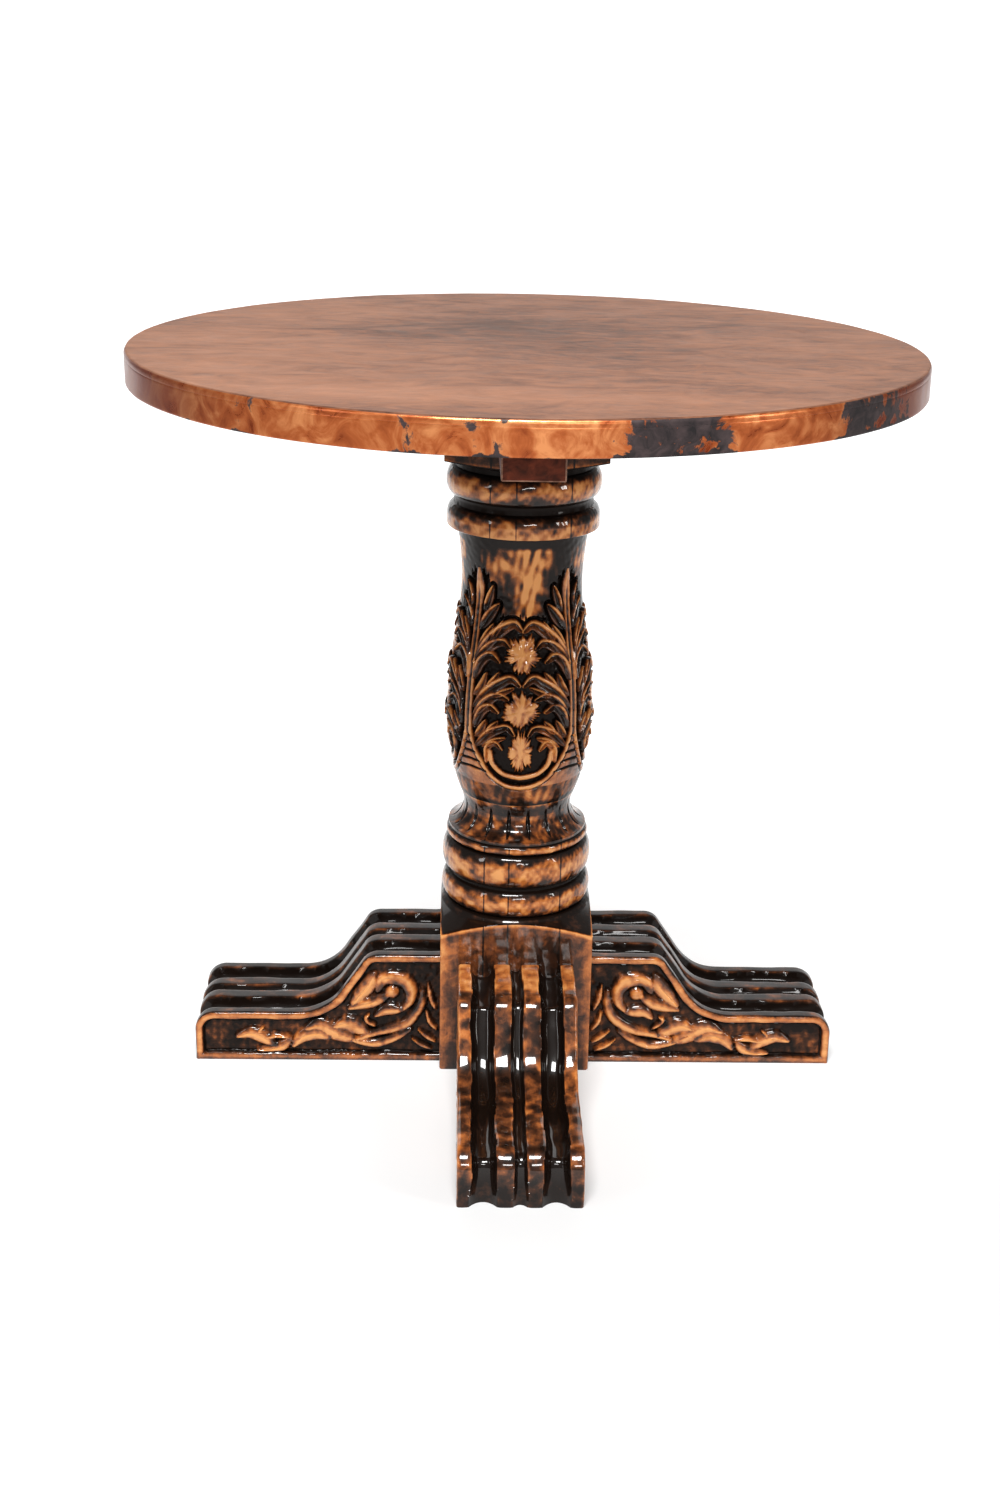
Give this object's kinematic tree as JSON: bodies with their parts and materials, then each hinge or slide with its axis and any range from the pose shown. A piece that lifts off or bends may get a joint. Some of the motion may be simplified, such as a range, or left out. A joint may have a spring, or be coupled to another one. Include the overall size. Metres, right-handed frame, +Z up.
{
  "type": "pedestal table",
  "caption": "Round table: a copper-clad wooden top on crossed battens, a turned and carved post with square blocks at both ends, and fluted scroll feet set at right angles.",
  "frame": {"origin": "on the floor, on the axis of the post", "axes": "+Z up along the post's axis; the feet point along +X, +Y, -X and -Y, and the front foot is the one along -Y"},
  "size_m": [0.7799, 0.78, 0.762],
  "materials": {
    "copper": "aged copper sheet, satin on top, with dark patina patches along the edge",
    "carved_wood": "dark brown glaze in the hollows, worn to gold on the high places, under gloss lacquer",
    "batten_wood": "brown stain under gloss lacquer",
    "plywood": "bare sanded plywood, stained brown underneath",
    "dowel_wood": "bare beech",
    "steel": "zinc-plated steel"
  },
  "bodies": {
    "root": {"copper_top_sheet": "copper", "copper_edge_band": "copper", "copper_tacks": "copper", "upper_board_disc": "plywood", "lower_board_disc": "plywood", "cross_batten": "batten_wood", "long_batten": "batten_wood", "board_screws": "steel", "lag_screws": "steel", "lag_washers": "steel", "post_plank_1": "carved_wood", "post_plank_2": "carved_wood", "post_plank_3": "carved_wood", "post_plank_4": "carved_wood", "foot_right": "carved_wood", "foot_back": "carved_wood", "foot_left": "carved_wood", "foot_front": "carved_wood", "foot_dowels": "dowel_wood", "foot_bolts": "steel", "foot_washers": "steel", "foot_nuts": "steel"}
  },
  "joints": []
}
